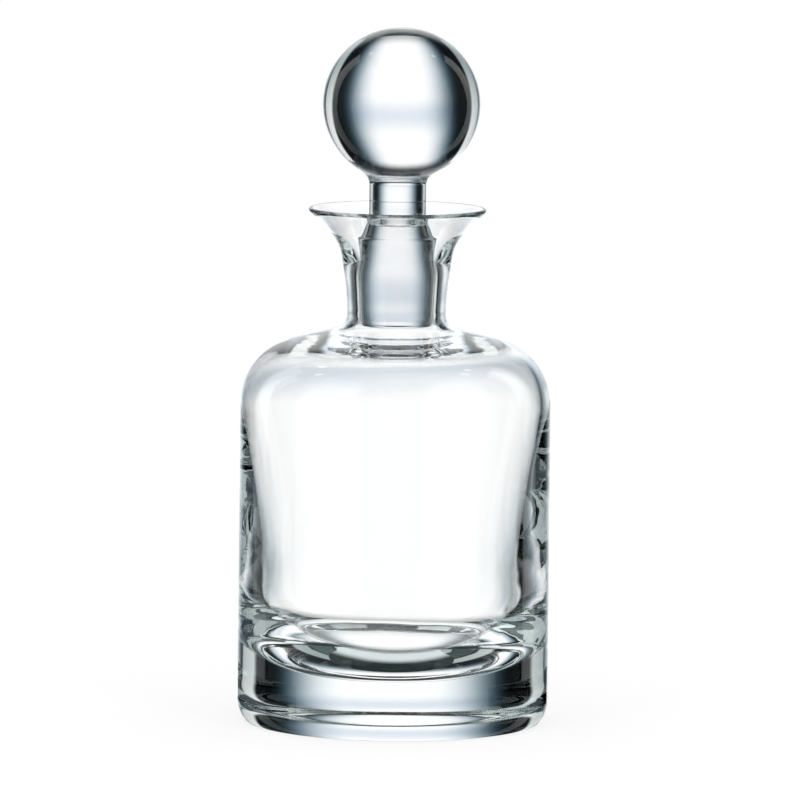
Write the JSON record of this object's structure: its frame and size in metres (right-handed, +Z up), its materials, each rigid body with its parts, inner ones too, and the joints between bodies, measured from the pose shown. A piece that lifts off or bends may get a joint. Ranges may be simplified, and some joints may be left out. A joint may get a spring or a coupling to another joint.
{
  "type": "whisky decanter",
  "caption": "Straight-sided round glass decanter with a thick solid base, a flared mouth and a ball stopper that lifts out.",
  "frame": {"origin": "centre of the flat underside, on the surface that the decanter stands on", "axes": "+Z up along the axis that the bottle and the stopper are turned about; the part is round, so X and Y are free"},
  "size_m": [0.105, 0.105, 0.2337],
  "materials": {
    "clear_glass": "fire-polished clear glass, very slightly blue-green where it is thick",
    "stopper_glass": "clear glass ball and stem, with a finely ground satin plug"
  },
  "bodies": {
    "bottle": {"bottle": "clear_glass"},
    "stopper": {"ball_stopper": "stopper_glass"}
  },
  "joints": [
    {"name": "stopper_lift", "type": "slide", "parent": "bottle", "child": "stopper", "axis": [0, 0, 1], "range_m": [0, 0.08]}
  ]
}
